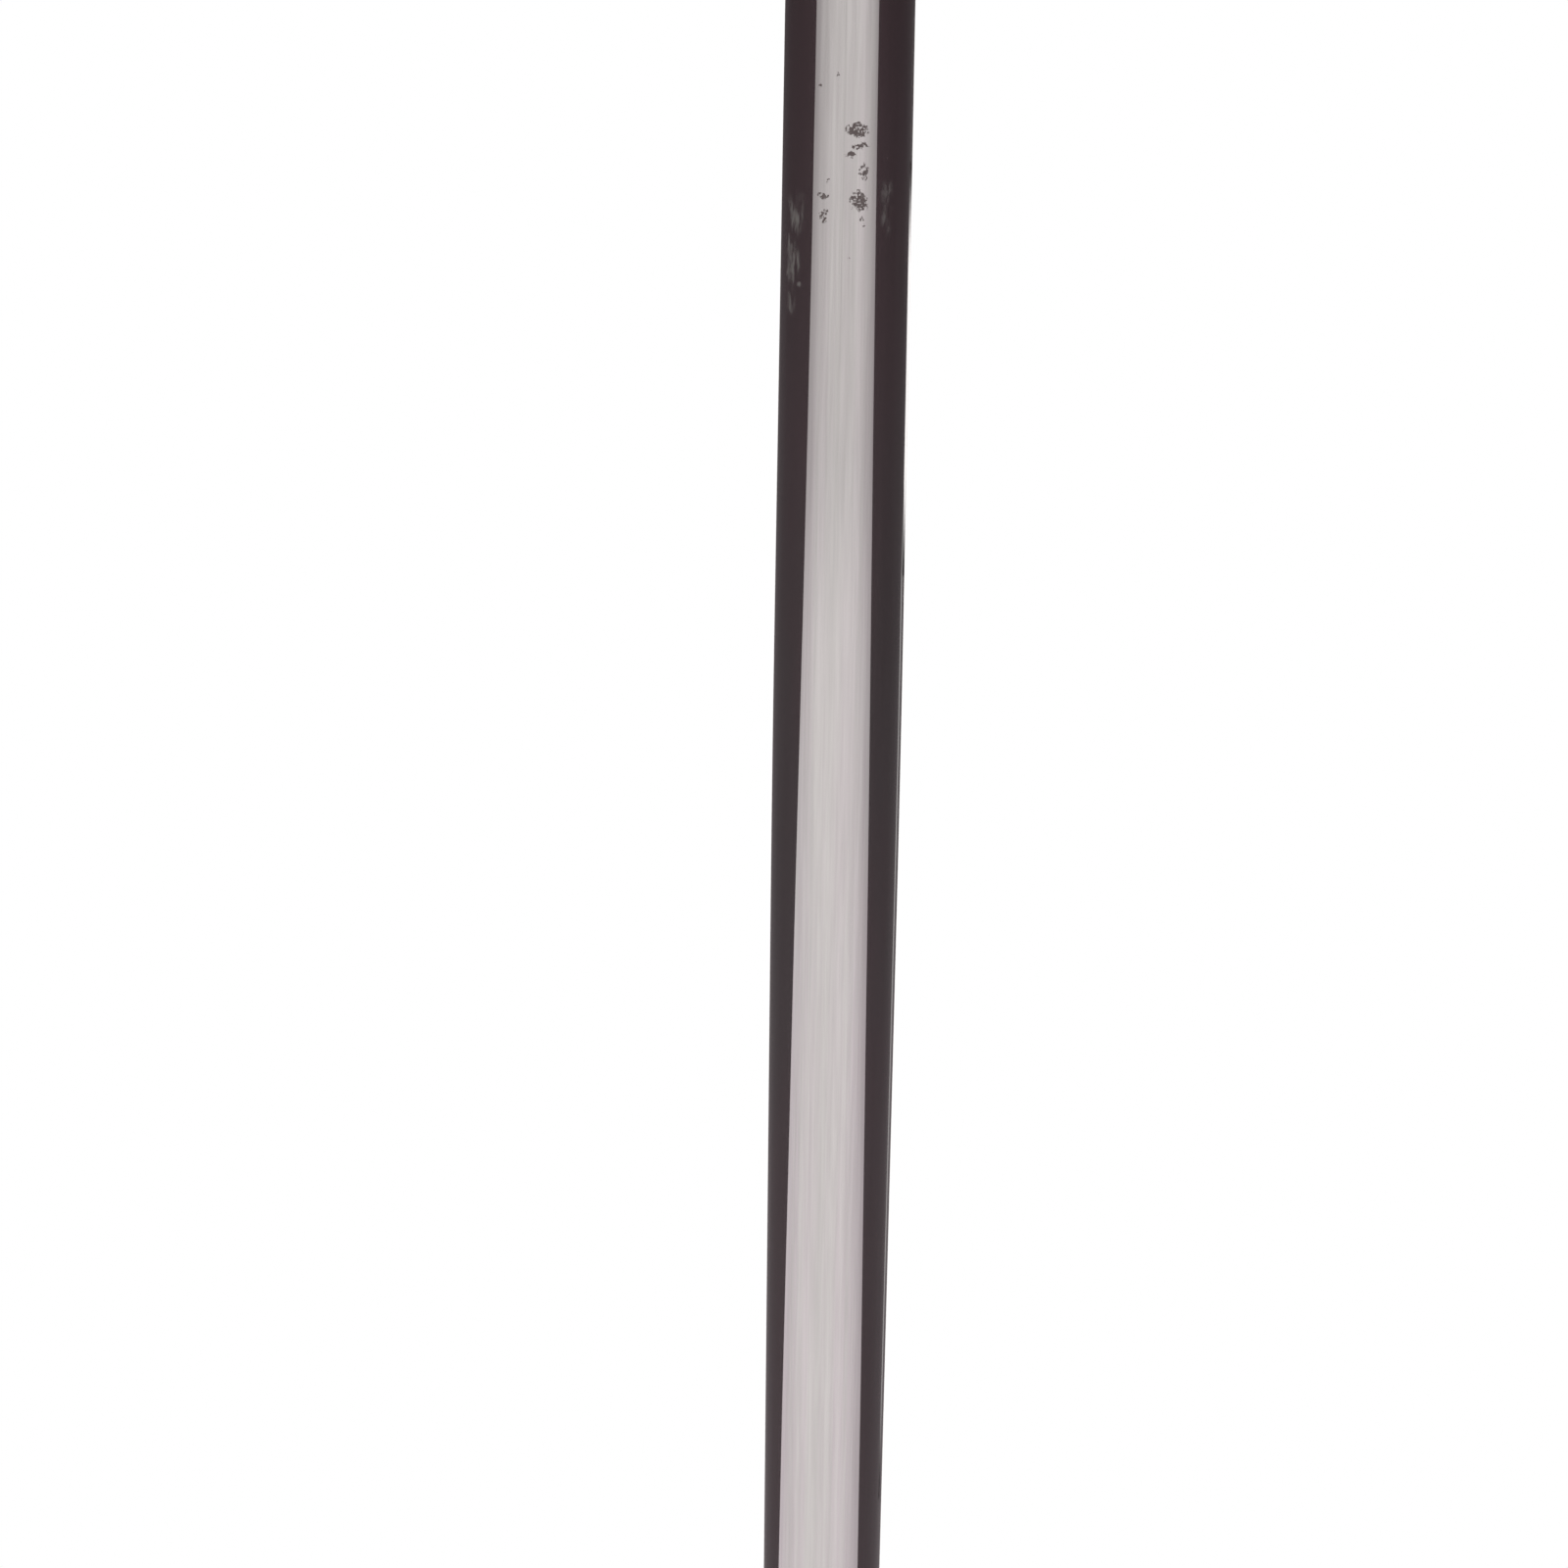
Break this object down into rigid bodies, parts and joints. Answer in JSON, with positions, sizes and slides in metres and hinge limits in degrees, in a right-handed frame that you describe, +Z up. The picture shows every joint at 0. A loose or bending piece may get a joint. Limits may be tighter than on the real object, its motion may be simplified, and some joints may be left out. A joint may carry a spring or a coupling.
{
  "type": "support cane",
  "caption": "Support cane: a lacquered, tapering wood shaft, an off-white derby handle that screws off, a plated collar and ferrule, and a ribbed rubber tip that pulls off.",
  "frame": {"origin": "centre of the rubber tip's underside, where the cane meets the ground", "axes": "+Z up along the shaft's axis, +X towards the long palm end of the handle, -X towards its hooked nose"},
  "size_m": [0.1281, 0.034, 0.914],
  "materials": {
    "black_lacquer": "hardwood under a mirror-gloss, warm black lacquer",
    "ivory_white_resin": "cast resin, polished",
    "nickel_plate": "bright nickel plate on brass",
    "brass": "turned, unpolished",
    "zinc_steel": "zinc-plated",
    "red_brown_fibre": "vulcanised fibre",
    "black_rubber": "moulded, matt"
  },
  "bodies": {
    "shaft": {"shaft": "black_lacquer", "collar": "nickel_plate", "collar_pin_front": "nickel_plate", "collar_pin_back": "nickel_plate", "shaft_bush": "brass", "handle_stud": "zinc_steel", "ferrule": "nickel_plate", "ferrule_pin_front": "nickel_plate", "ferrule_pin_back": "nickel_plate", "ferrule_end_button": "zinc_steel"},
    "washer": {"handle_washer": "red_brown_fibre"},
    "handle": {"handle": "ivory_white_resin", "handle_insert": "brass"},
    "tip": {"rubber_tip": "black_rubber", "tip_washer": "zinc_steel"}
  },
  "joints": [
    {"name": "washer_lift", "type": "slide", "parent": "shaft", "child": "washer", "axis": [0, 0, 1], "range_m": [0, 0.01502]},
    {"name": "handle_turn", "type": "hinge", "parent": "washer", "child": "handle", "pos_m": [0, 0, 0.868], "axis": [0, 0, 1], "range_deg": [0, 4320]},
    {"name": "tip_pull", "type": "slide", "parent": "tip", "child": "shaft", "axis": [0, 0, 1], "range_m": [0, 0.036]}
  ],
  "couplings": [
    {"joint": "washer_lift", "follows": "handle_turn", "m_per_rad": 0.00019894}
  ]
}
